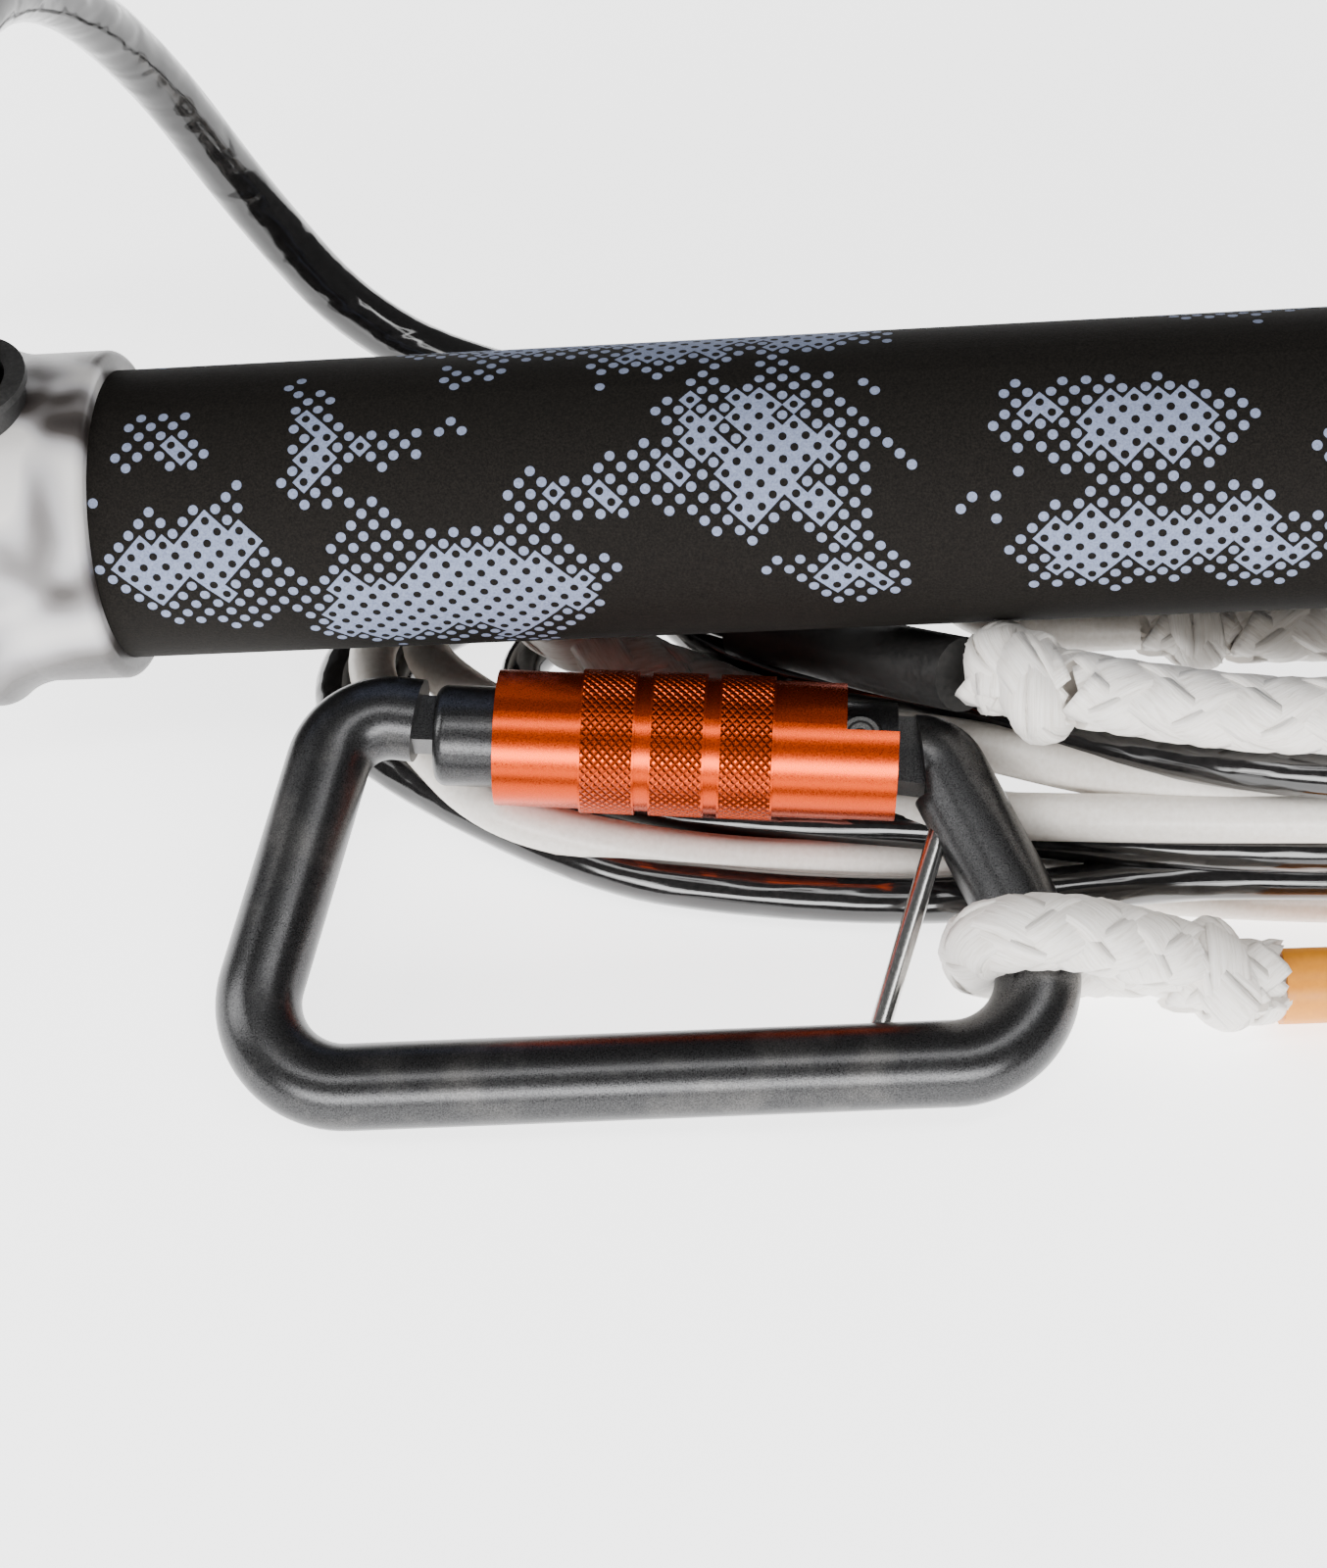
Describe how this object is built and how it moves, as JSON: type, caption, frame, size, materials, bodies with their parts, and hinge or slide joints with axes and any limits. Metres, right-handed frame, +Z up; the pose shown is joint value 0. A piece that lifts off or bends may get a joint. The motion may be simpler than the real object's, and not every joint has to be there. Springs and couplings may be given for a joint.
{
  "type": "tow rope handle",
  "caption": "Foam tow handle with swirled end caps, a hank of coated line with braided joints, and an auto-locking D carabiner.",
  "frame": {"origin": "on the floor, under the middle of the rigid pieces' box (the ropes are not counted)", "axes": "+X along the handle to its raised end, +Y away from the carabiner, +Z up"},
  "size_m": [0.4129, 0.1442, 0.1204],
  "materials": {
    "core_aluminium": "drawn tube",
    "grip_foam": "matt closed-cell foam with a printed dot camouflage",
    "cap_rubber": "satin rubber, swirled white, grey and charcoal",
    "grommet_rubber": "satin",
    "float_foam": "matt foam",
    "black_anodised": "bead-blasted black anodised aluminium",
    "steel": "polished stainless",
    "orange_anodised": "satin orange anodised aluminium",
    "nylon": "moulded",
    "black_vinyl": "glossy tube",
    "white_vinyl": "satin tube",
    "yellow_vinyl": "smooth tube",
    "white_braid": "loose multi-strand braid",
    "matt_cover": "matt heat-shrink cover",
    "strap": "hook and loop"
  },
  "bodies": {
    "rope_and_handle": {"grip_core_tube": "core_aluminium", "foam_grip": "grip_foam", "end_cap_left": "cap_rubber", "end_cap_right": "cap_rubber", "rope_grommet_left": "grommet_rubber", "rope_grommet_right": "grommet_rubber", "float_plug_left": "float_foam", "float_plug_right": "float_foam", "carabiner_frame": "black_anodised", "captive_pin": "steel", "hinge_rivet": "steel", "bridle_left": "black_vinyl", "bridle_right": "black_vinyl", "bridle_knot": "white_braid", "splice_cover": "matt_cover", "black_line_knot": "white_braid", "black_line_braid": "white_braid", "white_line_knot": "white_braid", "white_line_braid": "white_braid", "white_line_tail": "white_braid", "junction_knot": "white_braid", "line_hank": "black_vinyl", "hank_tie": "strap", "yellow_line": "yellow_vinyl", "yellow_knot": "white_braid", "eye_knot": "white_braid", "carabiner_eye": "white_braid"},
    "gate": {"gate_body": "black_anodised", "gate_plunger": "steel", "gate_spring": "steel", "sleeve_spring": "steel"},
    "carrier": {"sleeve_carrier": "nylon"},
    "sleeve": {"locking_sleeve": "orange_anodised"}
  },
  "joints": [
    {"name": "gate_swing", "type": "hinge", "parent": "rope_and_handle", "child": "gate", "pos_m": [-0.03639, -0.00484, 0.01838], "axis": [-0.017, -0.2763, 0.9609], "range_deg": [0, 21], "stiffness_Nm_per_rad": 0.08, "springref_deg": -17.19},
    {"name": "sleeve_lift", "type": "slide", "parent": "gate", "child": "carrier", "axis": [-0.9985, 0.0542, -0.0021], "range_m": [0, 0.003]},
    {"name": "sleeve_twist", "type": "hinge", "parent": "carrier", "child": "sleeve", "pos_m": [-0.03639, -0.00484, 0.01838], "axis": [-0.9985, 0.0542, -0.0021], "range_deg": [0, 100]}
  ],
  "couplings": [
    {"joint": "sleeve_lift", "follows": "gate_swing", "m_per_rad": 0.00818},
    {"joint": "sleeve_twist", "follows": "gate_swing", "ratio": 4.762}
  ]
}
